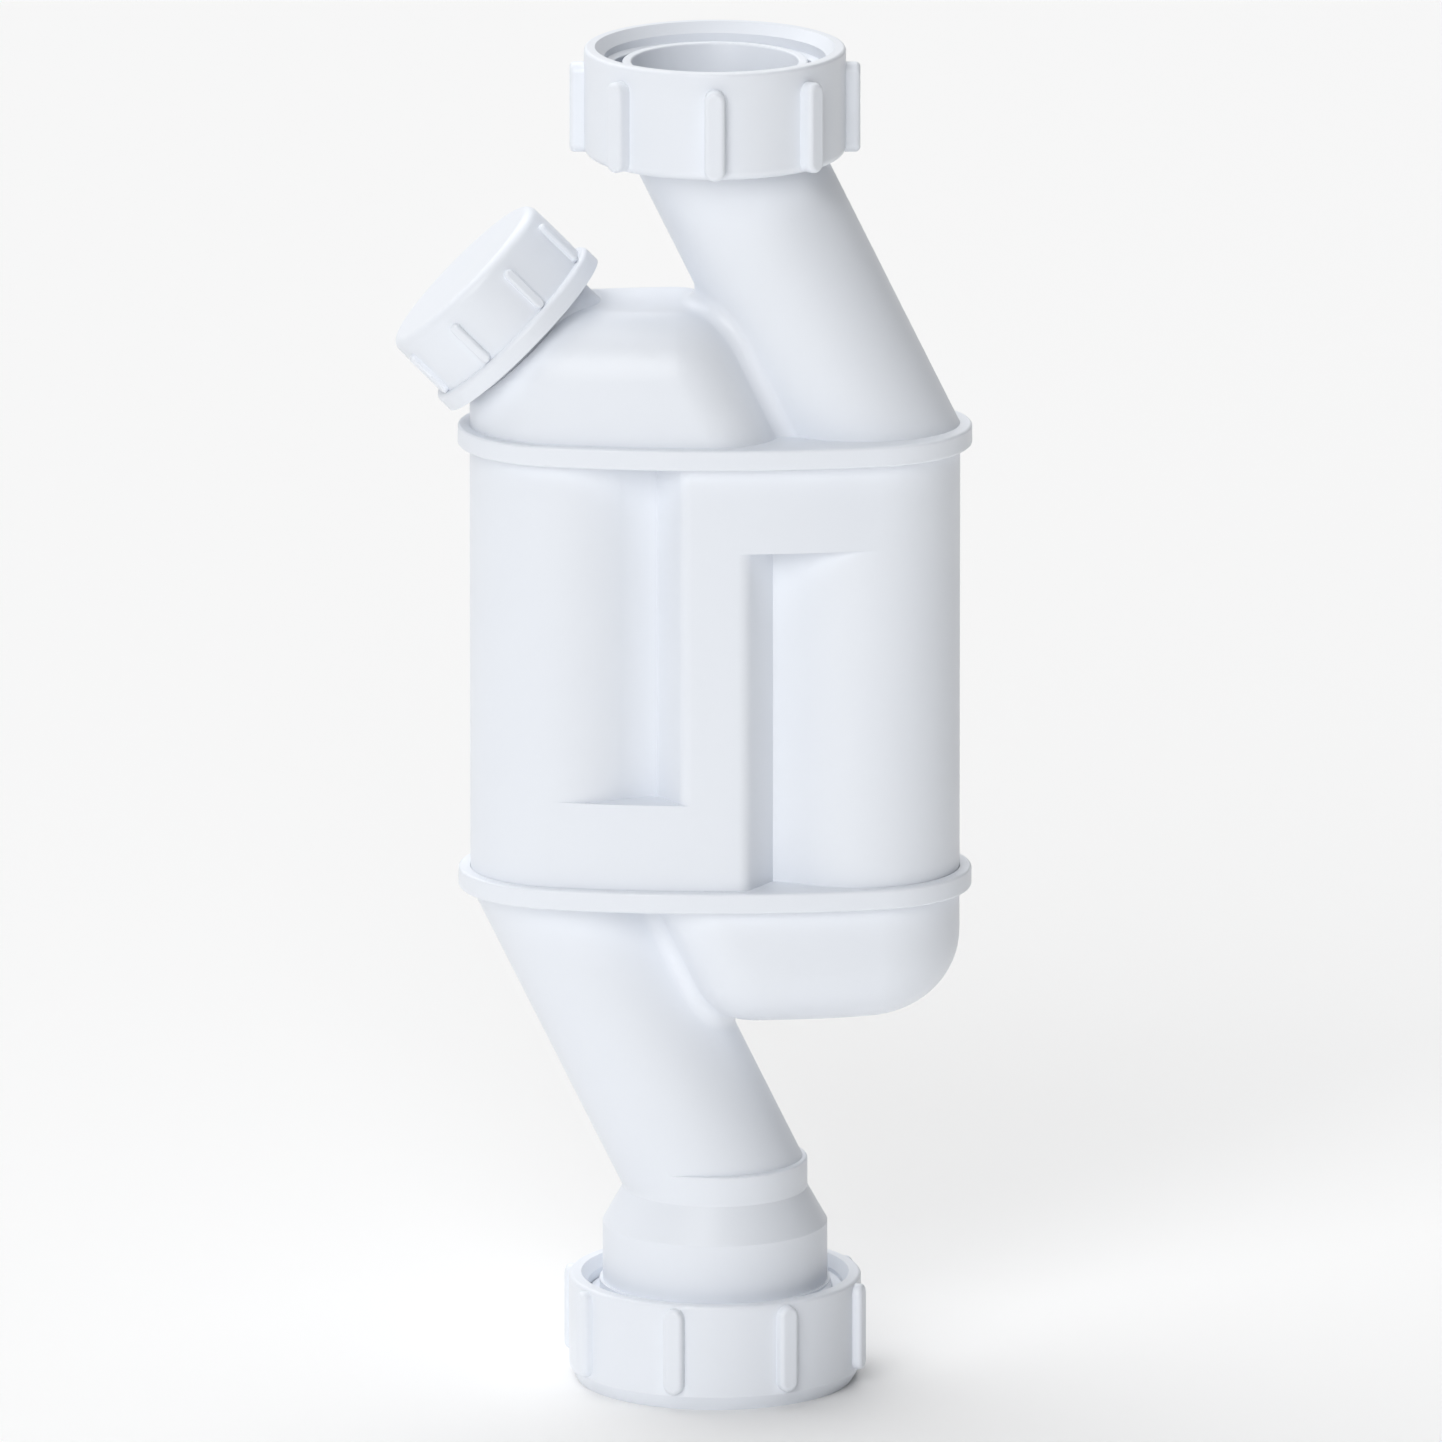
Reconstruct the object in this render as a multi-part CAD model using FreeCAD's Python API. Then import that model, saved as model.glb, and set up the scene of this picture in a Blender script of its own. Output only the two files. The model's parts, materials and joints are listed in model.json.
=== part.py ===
import FreeCAD, Part
import math
import os

Vec = FreeCAD.Vector

# Straight-through waste trap in moulded polypropylene, in millimetres.
# The origin is on the common axis of inlet and outlet, at the bottom of the outlet nut.
# +Z is up, +X runs from the cleaning eye's side to the inlet leg's side, and -Y is the front.

# Overall layout
OUTLET_ELBOW = 45.4            # outlet's elbow above the origin
ELBOW_HEIGHT = 116.5           # both elbows, from the body's mid height
BODY_HALF_HEIGHT = 49.5        # from mid height to the body's end face
WALL = 2.2                     # wall of the body, the covers and the tubes
WELD_GAP = 0.1                 # side clearance where a cover's rim fits over the body

# Oval section of the body: two leg arcs joined by bulged sides
OVAL_HALF_WIDTH = 53.2
OVAL_HALF_DEPTH = 25.5
LEG_RADIUS = 22.0

# Water seal and the two inner partitions
WATER_SEAL = 75.0              # height from the dip's lower edge to the weir's upper edge
DIP_ABOVE_END = 2.5            # dip's lower edge above the body's lower end face
PARTITION_WEB = 13.9           # flat web beside an end leg, from the body's mid plane

# Grooves that part the legs on the outside
GROOVE_FLANK_ANGLE = 59.0
GROOVE_LIP_ROUND = 3.5
GROOVE_REACH = 6.0             # how far a groove's cutter stands outside the oval

# Covers
RIM_PROUD = 2.6                # rim outside the body's oval
RIM_SKIRT = 2.5                # how far the rim laps over the body
RIM_PLATE = 2.0                # thickness of the cover's plate
RIM_ROUND = 0.6                # rounding of the rim's outer edges
POD_HEIGHT = 27.3              # crown and bowl, from the plate's outer face
POD_ROUND = 14.0               # rounding of the crown's and bowl's long edges
POD_END_ROUND = 17.5           # the same rounding at the outer end
POD_SIDE_OFFSET = 18.1         # from the tube's axis to the slanted side, level
BLEND_ROUND = 3.0              # hollow between a slanted side and its tube

# Slanted tubes
TUBE_RADIUS = 19.0
TUBE_SLOPE = 0.492             # sideways run of the tube for each unit of height

# Inlet spigot, collar and washer
COLLAR_RISE = 1.1              # collar's lower face above the elbow
COLLAR_THICK = 3.0
COLLAR_PROUD = 3.6             # collar outside the tube
SPIGOT_PROUD = 1.1             # spigot outside the tube
SPIGOT_HEIGHT = 11.2           # above the collar
SPIGOT_RIM = 2.0               # wall at the spigot's rim
SPIGOT_TAPER = 9.5             # depth of the tapered mouth
WASHER_THICK = 3.0
WASHER_GAP = 0.4               # round the spigot
WASHER_INSET = 0.65            # inside the thread

# Inlet nut
INLET_THREAD = 23.95           # bottom of the nut's G 1 1/2 thread, radius
INLET_NUT_WALL = 4.4
INLET_NUT_RISE = 3.1           # nut's upper face above the spigot
INLET_NUT_HEIGHT = 23.7
INLET_NUT_MOUTH = 2.05         # widening of the conical mouth
INLET_NUT_LEAD = 2.2           # depth of the conical mouth
INLET_LIP_SPACE = 2.25         # between the tube and the nut's lip
INLET_LIP_FLARE = 3.65         # widening of the lip towards the nut's lower face
INLET_FOOT_ROUND = 2.0
LIP_GAP = 0.2                  # from the nut's lip up to the collar
INLET_RIB_PROUD = 3.1
INLET_RIB_LENGTH = 19.9
INLET_RIB_TOP = 3.35           # rib's upper end under the nut's upper face
INLET_RIB_PHASE = 0.0

# Ribs on both nuts
RIB_COUNT = 8                  # on the cap too
RIB_WIDTH = 4.5
RIB_ROUND = 1.1
RIB_SINK = 1.2                 # how deep a rib's root goes into the wall

# Outlet socket
PIPE_RADIUS = 21.5             # 43 mm waste pipe
PIPE_CLEARANCE = 0.25
NECK_PROUD = 1.15              # neck outside the tube
NECK_RISE = 4.2                # neck's upper end above the elbow
NECK_DROP = 2.4                # neck's lower end under the elbow
SHOULDER_DROP = 10.2           # socket's shoulder under the elbow
STOP_DROP = 12.4               # pipe's stop under the elbow
STOP_TAPER = 7.0               # from the pipe's stop up into the neck's bore
SOCKET_WALL = 2.75
SOCKET_FOOT = 9.0
THREAD_WALL = 3.45             # wall under the socket's thread
THREAD_TOP = 22.3
SEAL_CONE_FLARE = 2.55         # widening of the socket's mouth for the seal
SEAL_CONE_HEIGHT = 4.4

# Outlet nut, its slip ring and tapered seal
THREAD_ROOM = 2.5              # between the socket's and the nut's thread bottoms
OUTLET_NUT_WALL = 4.15
OUTLET_NUT_HEIGHT = 23.6
OUTLET_NUT_MOUTH = 1.5         # widening of the conical mouth
OUTLET_NUT_LEAD = 2.3          # depth of the conical mouth
OUTLET_NUT_FLOOR = 3.2
OUTLET_FOOT_TAPER = 1.85
OUTLET_RIB_PROUD = 2.0
OUTLET_RIB_LENGTH = 19.2
OUTLET_RIB_RISE = 3.8
OUTLET_RIB_PHASE = 29.0
SLIP_RING_THICK = 1.5
SLIP_RING_INSET = 0.5          # inside the nut's bore
RUNNING_GAP = 0.1              # between faces that turn on each other
SEAL_INSET = 1.8               # seal's flange inside the slip ring
SEAL_BASE = 3.2
SEAL_HEIGHT = 7.8
SEAL_GAP = 0.35                # level gap from the seal's cone to the socket's cone

# Cleaning eye
EYE_TILT = 45.0                # its axis, from upright towards -X
EYE_IN = 11.7                  # cap's lower face centre, in from the body's end
EYE_DROP = 7.7                 # cap's lower face centre, under the crown's top
EYE_STAND = 1.3                # cap's lower face above the crown's shoulder plane
EYE_NECK_RADIUS = 17.25
EYE_THREAD_ROOM = 1.95         # between the neck and the cap
EYE_CAP_WALL = 1.95
EYE_CAP_HEIGHT = 19.3
EYE_CAP_PLATE = 2.5
EYE_CAP_ROUND = 2.2
EYE_FLANGE_PROUD = 1.65
EYE_FLANGE_HEIGHT = 4.2
EYE_FLANGE_ROUND = 1.2
EYE_RIB_PROUD = 1.15
EYE_RIB_LENGTH = 11.2
EYE_RIB_WIDTH = 2.2
EYE_RIB_ROUND = 0.6
EYE_RIB_RISE = 4.3
EYE_RIB_PHASE = -16.3
EYE_SEAL_THICK = 2.0
EYE_SEAL_INSET = 0.4           # inside the cap's bore

EDGE_ROUND = 0.8               # small edge rounding on nuts
RIM_EDGE_ROUND = 0.5           # rims of the spigot, its collar and the outlet's neck

# Sizes that follow from those above
CENTRE_HEIGHT = OUTLET_ELBOW + ELBOW_HEIGHT
INLET_ELBOW = CENTRE_HEIGHT + ELBOW_HEIGHT
BODY_TOP = CENTRE_HEIGHT + BODY_HALF_HEIGHT
BODY_FOOT = CENTRE_HEIGHT - BODY_HALF_HEIGHT
PLATE_TOP = BODY_TOP + RIM_PLATE
PLATE_FOOT = BODY_FOOT - RIM_PLATE
CROWN_TOP = PLATE_TOP + POD_HEIGHT
LEG_X = OVAL_HALF_WIDTH - LEG_RADIUS
SIDE_RADIUS = (LEG_X**2 + OVAL_HALF_DEPTH**2 - LEG_RADIUS**2) / (2 * (OVAL_HALF_DEPTH - LEG_RADIUS))
SIDE_DROP = SIDE_RADIUS - OVAL_HALF_DEPTH
SIDE_LEAN = math.atan2(LEG_X, SIDE_DROP)
DIP_EDGE = BODY_FOOT + DIP_ABOVE_END
WEIR_EDGE = DIP_EDGE + WATER_SEAL
TUBE_BORE = TUBE_RADIUS - WALL
TUBE_TILT = math.atan(TUBE_SLOPE)
SPIGOT_RADIUS = TUBE_RADIUS + SPIGOT_PROUD
COLLAR_FOOT = INLET_ELBOW + COLLAR_RISE
COLLAR_TOP = COLLAR_FOOT + COLLAR_THICK
SPIGOT_TOP = COLLAR_TOP + SPIGOT_HEIGHT
LIP_RADIUS = TUBE_RADIUS + INLET_LIP_SPACE
LIP_TOP = COLLAR_FOOT - LIP_GAP
INLET_NUT_RADIUS = INLET_THREAD + INLET_NUT_WALL
INLET_NUT_TOP = SPIGOT_TOP + INLET_NUT_RISE
INLET_NUT_FOOT = INLET_NUT_TOP - INLET_NUT_HEIGHT
PIPE_BORE = PIPE_RADIUS + PIPE_CLEARANCE
PIPE_STOP = OUTLET_ELBOW - STOP_DROP
NECK_RADIUS = TUBE_RADIUS + NECK_PROUD
SOCKET_RADIUS = PIPE_BORE + SOCKET_WALL
SOCKET_LIP = PIPE_BORE + SEAL_CONE_FLARE
THREAD_ROOT = PIPE_BORE + THREAD_WALL
CONE_SLOPE = SEAL_CONE_FLARE / SEAL_CONE_HEIGHT
OUTLET_NUT_BORE = THREAD_ROOT + THREAD_ROOM
OUTLET_NUT_RADIUS = OUTLET_NUT_BORE + OUTLET_NUT_WALL
SLIP_RING_RADIUS = OUTLET_NUT_BORE - SLIP_RING_INSET
SEAL_RADIUS = SLIP_RING_RADIUS - SEAL_INSET
RING_FOOT = OUTLET_NUT_FLOOR + RUNNING_GAP
RING_TOP = RING_FOOT + SLIP_RING_THICK
EYE_X = EYE_IN - OVAL_HALF_WIDTH
EYE_Z = CROWN_TOP - EYE_DROP
EYE_CAP_BORE = EYE_NECK_RADIUS + EYE_THREAD_ROOM
EYE_CAP_RADIUS = EYE_CAP_BORE + EYE_CAP_WALL
EYE_CAP_INSIDE = EYE_CAP_HEIGHT - EYE_CAP_PLATE
EYE_NECK_HEIGHT = EYE_CAP_INSIDE - EYE_SEAL_THICK - 2 * RUNNING_GAP
BEYOND = OVAL_HALF_WIDTH * 2   # reach of a cutting block past the object


def block(low, high):
    """Upright box between two corners."""
    size = high - low
    return Part.makeBox(size.x, size.y, size.z, low)


def rounded_outline(corners):
    """Closed wire in the XZ plane through (x, z, radius) corners, each rounded by its own arc."""
    places = [Vec(x, 0, z) for x, z, _ in corners]
    ends = []
    edges = []
    for number, (_, _, radius) in enumerate(corners):
        here = places[number]
        if radius == 0:
            ends.append((here, here))
            continue
        back = (places[number - 1] - here).normalize()
        onward = (places[(number + 1) % len(places)] - here).normalize()
        half = back.getAngle(onward) / 2
        reach = radius / math.tan(half)
        middle = here + (back + onward).normalize() * (radius / math.sin(half) - radius)
        ends.append((here + back * reach, here + onward * reach))
        edges.append(Part.Arc(ends[-1][0], middle, ends[-1][1]).toShape())
    for number, (start, _) in enumerate(ends):
        before = ends[number - 1][1]
        if before.distanceToPoint(start) > 1e-6:
            edges.append(Part.makeLine(before, start))
    return Part.Wire(Part.__sortEdges__(edges))


def turned(corners):
    """Solid of revolution about +Z from (radius, height, rounding) corners."""
    face = Part.Face(rounded_outline(corners))
    return face.revolve(Vec(0, 0, 0), Vec(0, 0, 1), 360)


def ring(outer, inner, foot, top):
    """Flat ring between two heights."""
    return turned([(inner, foot, 0), (outer, foot, 0), (outer, top, 0), (inner, top, 0)])


def arc_edge(start, middle, end):
    """Arc through three points."""
    return Part.Arc(start, middle, end).toShape()


def oval_edges(grow):
    """Edges of the body's oval, offset outwards by grow; each end arc is in two halves."""
    end_radius = LEG_RADIUS + grow
    join_x = LEG_X + end_radius * math.sin(SIDE_LEAN)
    join_y = end_radius * math.cos(SIDE_LEAN)
    tip = LEG_X + end_radius
    half = (math.pi / 2 - SIDE_LEAN) / 2
    bend_x = LEG_X + end_radius * math.cos(half)
    bend_y = end_radius * math.sin(half)
    depth = OVAL_HALF_DEPTH + grow
    return [
        arc_edge(Vec(-join_x, -join_y), Vec(0, -depth), Vec(join_x, -join_y)),
        arc_edge(Vec(join_x, -join_y), Vec(bend_x, -bend_y), Vec(tip, 0)),
        arc_edge(Vec(tip, 0), Vec(bend_x, bend_y), Vec(join_x, join_y)),
        arc_edge(Vec(join_x, join_y), Vec(0, depth), Vec(-join_x, join_y)),
        arc_edge(Vec(-join_x, join_y), Vec(-bend_x, bend_y), Vec(-tip, 0)),
        arc_edge(Vec(-tip, 0), Vec(-bend_x, -bend_y), Vec(-join_x, -join_y)),
    ]


def upright(edges, foot, top):
    """Prism of a closed loop of level edges between two heights."""
    solid = Part.Face(Part.Wire(edges)).extrude(Vec(0, 0, top - foot))
    solid.translate(Vec(0, 0, foot))
    return solid


def oval_prism(grow, foot, top):
    """Prism of the body's oval, offset outwards by grow."""
    return upright(oval_edges(grow), foot, top)


def mirrored(shape, normal):
    """Shape and its mirror image about the origin's plane with this normal, as a list."""
    return [shape, shape.mirror(Vec(0, 0, 0), normal)]


def turned_about_middle(shape):
    """Shape turned half a turn about the front-to-back axis at mid height, crown to bowl."""
    copy = shape.copy()
    copy.rotate(Vec(0, 0, CENTRE_HEIGHT), Vec(0, 1, 0), 180)
    return copy


def groove_face():
    """Section of the back groove beside the left leg: leg arc, flank and rounded lip."""
    leg = Vec(-LEG_X, 0, 0)
    side = Vec(0, -SIDE_DROP, 0)
    deep = Vec(-PARTITION_WEB, math.sqrt(LEG_RADIUS**2 - (LEG_X - PARTITION_WEB) ** 2), 0)
    join = leg + Vec(-math.sin(SIDE_LEAN), math.cos(SIDE_LEAN), 0) * LEG_RADIUS
    crest = leg + ((join - leg).normalize() + (deep - leg).normalize()).normalize() * LEG_RADIUS
    angle = math.radians(GROOVE_FLANK_ANGLE)
    along = Vec(math.cos(angle), math.sin(angle), 0)
    inward = Vec(math.sin(angle), -math.cos(angle), 0)
    base = deep + inward * GROOVE_LIP_ROUND - side
    reach = SIDE_RADIUS - GROOVE_LIP_ROUND
    ahead = base.dot(along)
    run = -ahead + math.sqrt(ahead**2 - base.dot(base) + reach**2)
    hub = deep + along * run + inward * GROOVE_LIP_ROUND
    lip_start = deep + along * run
    lip_end = side + (hub - side).normalize() * SIDE_RADIUS
    bend = ((lip_start - hub).normalize() + (lip_end - hub).normalize()).normalize()
    lip_middle = hub + bend * GROOVE_LIP_ROUND
    outside = OVAL_HALF_DEPTH + GROOVE_REACH
    far = Vec(lip_end.x, outside, 0)
    near = Vec(join.x, outside, 0)
    edges = [arc_edge(join, crest, deep), Part.makeLine(deep, lip_start)]
    edges.append(arc_edge(lip_start, lip_middle, lip_end))
    edges.append(Part.makeLine(lip_end, far))
    edges.append(Part.makeLine(far, near))
    edges.append(Part.makeLine(near, join))
    return Part.Face(Part.Wire(edges))


def groove_pair(foot, top, grow):
    """Left front and left back groove cutters, offset outwards by grow all round."""
    face = groove_face()
    if grow:
        face = face.makeOffset2D(grow)
    cutter = face.extrude(Vec(0, 0, top - foot + 2 * grow))
    cutter.translate(Vec(0, 0, foot - grow))
    return mirrored(cutter, Vec(0, 1, 0))


def grooves(grow):
    """All four groove cutters: left ones under the top rim, right ones over the bottom rim."""
    top = BODY_TOP - RIM_SKIRT
    left = groove_pair(top - WATER_SEAL, top, grow)
    return left + [turned_about_middle(cutter) for cutter in left]


def side_point(x):
    """Point of the inner back side arc at x."""
    radius = SIDE_RADIUS - WALL
    return Vec(x, math.sqrt(radius**2 - x**2) - SIDE_DROP, 0)


def partition(side, shift):
    """Points down one face of a partition, from the back wall to the front wall."""
    face_x = side * (PARTITION_WEB + shift * WALL / 2)
    radius = LEG_RADIUS - WALL if shift > 0 else LEG_RADIUS
    join_y = math.sqrt(radius**2 - (LEG_X - abs(face_x)) ** 2)
    top = side_point(face_x)
    nose = Vec(side * (LEG_X - radius), 0, 0)
    return [top, Vec(face_x, join_y, 0), nose, Vec(face_x, -join_y, 0), Vec(face_x, -top.y, 0)]


def partition_edges(points):
    """Line, arc and line through a partition face's points."""
    back, back_join, nose, front_join, front = points
    lines = [Part.makeLine(back, back_join), arc_edge(back_join, nose, front_join)]
    return lines + [Part.makeLine(front_join, front)]


def side_arc(start, end):
    """Inner side arc between two points of it, on the back or the front."""
    middle = side_point((start.x + end.x) / 2)
    if start.y < 0:
        middle.y = -middle.y
    return arc_edge(start, middle, end)


def end_chamber(side, wall_side, shift):
    """Inner outline from one partition's face round one end of the oval; side is the end."""
    points = partition(wall_side, shift)
    radius = LEG_RADIUS - WALL
    join = Vec(side * (LEG_X + radius * math.sin(SIDE_LEAN)), radius * math.cos(SIDE_LEAN), 0)
    front_join = Vec(join.x, -join.y, 0)
    tip = Vec(side * (LEG_X + radius), 0, 0)
    edges = partition_edges(points)
    edges.append(side_arc(points[-1], front_join))
    edges.append(arc_edge(front_join, tip, join))
    edges.append(side_arc(join, points[0]))
    return edges


def middle_chamber():
    """Inner outline between the weir and the dip wall."""
    weir = partition(-1, -1)
    dip = partition(1, -1)
    edges = partition_edges(weir) + [side_arc(weir[-1], dip[-1])]
    return edges + partition_edges(dip) + [side_arc(dip[0], weir[0])]


def left_leg(foot, top):
    """Space of the leg that falls to the outlet."""
    return upright(Part.__sortEdges__(end_chamber(-1, -1, 1)), foot, top)


def right_leg(foot, top):
    """Space of the leg that falls from the inlet."""
    return upright(Part.__sortEdges__(end_chamber(1, 1, 1)), foot, top)


def over_weir(foot, top):
    """Left leg and middle leg as one space, with no weir between them."""
    return upright(Part.__sortEdges__(end_chamber(-1, 1, -1)), foot, top)


def under_dip(foot, top):
    """Middle leg and right leg as one space, with no dip wall between them."""
    return upright(Part.__sortEdges__(end_chamber(1, -1, -1)), foot, top)


def trap_body():
    """Oval body with its outside grooves, its weir and its dip wall."""
    shell = oval_prism(0, BODY_FOOT, BODY_TOP).cut(grooves(0))
    spaces = [left_leg(BODY_FOOT, BODY_TOP), right_leg(BODY_FOOT, BODY_TOP)]
    spaces.append(upright(Part.__sortEdges__(middle_chamber()), BODY_FOOT, BODY_TOP))
    spaces.append(over_weir(WEIR_EDGE, BODY_TOP))
    spaces.append(under_dip(BODY_FOOT, DIP_EDGE))
    hollow = spaces[0].fuse(spaces[1:]).cut(grooves(WALL))
    return shell.cut(hollow)


def tube_x(height):
    """Sideways place of the inlet tube's axis at a height."""
    return (INLET_ELBOW - height) * TUBE_SLOPE


def side_cutter(offset, height):
    """Block on the right of a slanted plane that runs beside the inlet tube."""
    cutter = block(Vec(0, -BEYOND, -BEYOND), Vec(BEYOND, BEYOND, BEYOND))
    cutter.rotate(Vec(0, 0, 0), Vec(0, 1, 0), -math.degrees(TUBE_TILT))
    cutter.translate(Vec(tube_x(height) - offset, 0, height))
    return cutter


def pod_radius(x, shrink):
    """Rounding of the pod's long edges at x, growing towards the end over the left leg."""
    end_share = max(0, -x / (OVAL_HALF_WIDTH - shrink)) ** 4
    return POD_ROUND + (POD_END_ROUND - POD_ROUND) * end_share - shrink


def keeps_above(edge, height):
    """Does the whole edge lie at this height?"""
    return edge.BoundBox.ZMin > height - 0.01


def is_slanted(edge):
    """Is the edge a slanted one of the side plane, neither level nor upright?"""
    box = edge.BoundBox
    return box.ZLength > POD_HEIGHT / 2 and box.XLength > POD_HEIGHT * TUBE_SLOPE / 2


def pod(shrink):
    """Oval crown with a slanted side and rounded edges, offset inwards by shrink."""
    side_shift = shrink / math.cos(TUBE_TILT)
    blank = oval_prism(-shrink, PLATE_TOP, CROWN_TOP - shrink)
    blank = blank.cut(side_cutter(POD_SIDE_OFFSET + side_shift, PLATE_TOP))
    document = FreeCAD.newDocument("pod")
    base = document.addObject("Part::Feature", "base")
    base.Shape = blank
    rounded = document.addObject("Part::Fillet", "rounded")
    rounded.Base = base
    radii = []
    for number, edge in enumerate(blank.Edges, 1):
        if keeps_above(edge, CROWN_TOP - shrink):
            first = edge.valueAt(edge.FirstParameter)
            last = edge.valueAt(edge.LastParameter)
            radii.append((number, pod_radius(first.x, shrink), pod_radius(last.x, shrink)))
        elif is_slanted(edge):
            radii.append((number, POD_ROUND - shrink, POD_ROUND - shrink))
    rounded.Edges = radii
    document.recompute()
    shape = rounded.Shape.copy()
    FreeCAD.closeDocument("pod")
    return shape


def meets_tube(edge, solid):
    """Is the edge where the inlet tube's face meets another face above the plate?"""
    line = Vec(-TUBE_SLOPE, 0, 1).normalize()
    for share in (0, 0.5, 1):
        place = edge.FirstParameter + share * (edge.LastParameter - edge.FirstParameter)
        arm = edge.valueAt(place) - Vec(0, 0, INLET_ELBOW)
        if abs(arm.cross(line).Length - TUBE_RADIUS) > 0.01:
            return False
    level = edge.BoundBox.ZLength < 0.01 and edge.BoundBox.ZMin < PLATE_TOP + 0.01
    return not level and len(solid.ancestorsOfType(edge, Part.Face)) == 2


def pod_on_tube():
    """Crown with the foot of the inlet tube, and a hollow blend along their meeting."""
    foot = block(Vec(-BEYOND, -BEYOND, PLATE_TOP), Vec(BEYOND, BEYOND, CROWN_TOP + TUBE_RADIUS))
    tube = inlet_tube(TUBE_RADIUS, COLLAR_TOP).common(foot)
    solid = pod(0).fuse(tube).removeSplitter()
    return solid.makeFillet(BLEND_ROUND, [edge for edge in solid.Edges if meets_tube(edge, solid)])


def shoulder_block(shrink):
    """Block outside the cleaning eye's shoulder plane."""
    foot = -EYE_STAND - shrink
    return eye_placed(block(Vec(-BEYOND, -BEYOND, foot), Vec(BEYOND, BEYOND, BEYOND)))


def inlet_tube(radius, top):
    """Round bar of the inlet tube, mitred at its elbow, from the plate's lower face to top."""
    above = INLET_ELBOW + 2 * TUBE_RADIUS
    below = BODY_TOP - 2 * TUBE_RADIUS
    corners = [Vec(0, 0, above), Vec(0, 0, INLET_ELBOW), Vec(tube_x(below), 0, below)]
    start = Part.Wire(Part.makeCircle(radius, corners[0]))
    bar = Part.makePolygon(corners).makePipeShell([start], True, False, 1)
    return bar.common(block(Vec(-BEYOND, -BEYOND, BODY_TOP), Vec(BEYOND, BEYOND, top)))


def outlet_tube(radius, foot):
    """Round bar of the outlet tube, from foot to the plate's upper face."""
    return turned_about_middle(inlet_tube(radius, 2 * CENTRE_HEIGHT - foot))


def top_rim():
    """Plate with a skirt that laps over the body's end."""
    plate = oval_prism(RIM_PROUD, BODY_TOP - RIM_SKIRT, PLATE_TOP)
    plate = plate.makeFillet(RIM_ROUND, [edge for edge in plate.Edges if edge.BoundBox.ZLength < 0.01])
    return plate.cut(oval_prism(WELD_GAP, BODY_TOP - RIM_SKIRT, BODY_TOP))


def eye_placed(shape):
    """Shape moved from the cap's own frame, its lower face at the origin, to the eye."""
    shape.rotate(Vec(0, 0, 0), Vec(0, 1, 0), -EYE_TILT)
    shape.translate(Vec(EYE_X, 0, EYE_Z))
    return shape


def eye_neck(radius):
    """Round bar of the cleaning eye's neck, from inside the crown to its end."""
    depth = POD_HEIGHT / 3
    return eye_placed(Part.makeCylinder(radius, depth + EYE_NECK_HEIGHT, Vec(0, 0, -depth)))


def neck_sleeve():
    """Neck's wall, kept clear of the crown's hollow."""
    return eye_neck(EYE_NECK_RADIUS).cut(pod(WALL).cut(shoulder_block(WALL)))


def plate_opening():
    """Opening in the top plate, inside the crown's walls, over the legs beside the weir."""
    floor = [face for face in pod(WALL).Faces if face.BoundBox.ZMax < PLATE_TOP + 0.01]
    return floor[0].extrude(Vec(0, 0, -RIM_PLATE)).common(over_weir(BODY_TOP, PLATE_TOP))


def spigot():
    """Collar and spigot that the inlet nut and washer sit on."""
    return turned([
        (TUBE_BORE, COLLAR_FOOT, 0),
        (TUBE_RADIUS + COLLAR_PROUD, COLLAR_FOOT, RIM_EDGE_ROUND),
        (TUBE_RADIUS + COLLAR_PROUD, COLLAR_TOP, 0),
        (SPIGOT_RADIUS, COLLAR_TOP, 0),
        (SPIGOT_RADIUS, SPIGOT_TOP, RIM_EDGE_ROUND),
        (SPIGOT_RADIUS - SPIGOT_RIM, SPIGOT_TOP, RIM_EDGE_ROUND),
        (TUBE_BORE, SPIGOT_TOP - SPIGOT_TAPER, 0),
    ])


def top_cover():
    """Cover with the inlet tube, the crown over the weir and the cleaning eye's neck."""
    crown = pod_on_tube().cut(shoulder_block(0))
    solid = top_rim().fuse([crown, inlet_tube(TUBE_RADIUS, COLLAR_TOP), neck_sleeve(), spigot()])
    hollow = pod(WALL).cut([shoulder_block(WALL), inlet_tube(TUBE_RADIUS, COLLAR_TOP)])
    solid = solid.cut([hollow, plate_opening()])
    solid = solid.cut([inlet_tube(TUBE_BORE, SPIGOT_TOP + SPIGOT_RIM), eye_neck(EYE_NECK_RADIUS - WALL)])
    return solid.removeSplitter()


def socket():
    """Neck, cone and threaded socket that take the waste pipe."""
    return turned([
        (SOCKET_LIP, SOCKET_FOOT, 0),
        (THREAD_ROOT, SOCKET_FOOT, 0),
        (THREAD_ROOT, THREAD_TOP, 0),
        (SOCKET_RADIUS, THREAD_TOP, 0),
        (SOCKET_RADIUS, OUTLET_ELBOW - SHOULDER_DROP, 0),
        (NECK_RADIUS, OUTLET_ELBOW - NECK_DROP, 0),
        (NECK_RADIUS, OUTLET_ELBOW + NECK_RISE, RIM_EDGE_ROUND),
        (TUBE_BORE, OUTLET_ELBOW + NECK_RISE, 0),
        (TUBE_BORE, PIPE_STOP + STOP_TAPER, 0),
        (TUBE_RADIUS, PIPE_STOP, 0),
        (PIPE_BORE, PIPE_STOP, 0),
        (PIPE_BORE, SOCKET_FOOT + SEAL_CONE_HEIGHT, 0),
    ])


def bottom_cover():
    """Cover with the bowl under the dip wall and the outlet tube with its socket."""
    bar = outlet_tube(TUBE_RADIUS, PIPE_STOP + STOP_TAPER)
    parts = [turned_about_middle(pod_on_tube()), bar, socket()]
    solid = turned_about_middle(top_rim()).fuse(parts)
    hollow = turned_about_middle(pod(WALL)).cut(bar)
    solid = solid.cut([hollow, turned_about_middle(plate_opening())])
    solid = solid.cut(outlet_tube(TUBE_BORE, PIPE_STOP + STOP_TAPER))
    return solid.removeSplitter()


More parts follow.
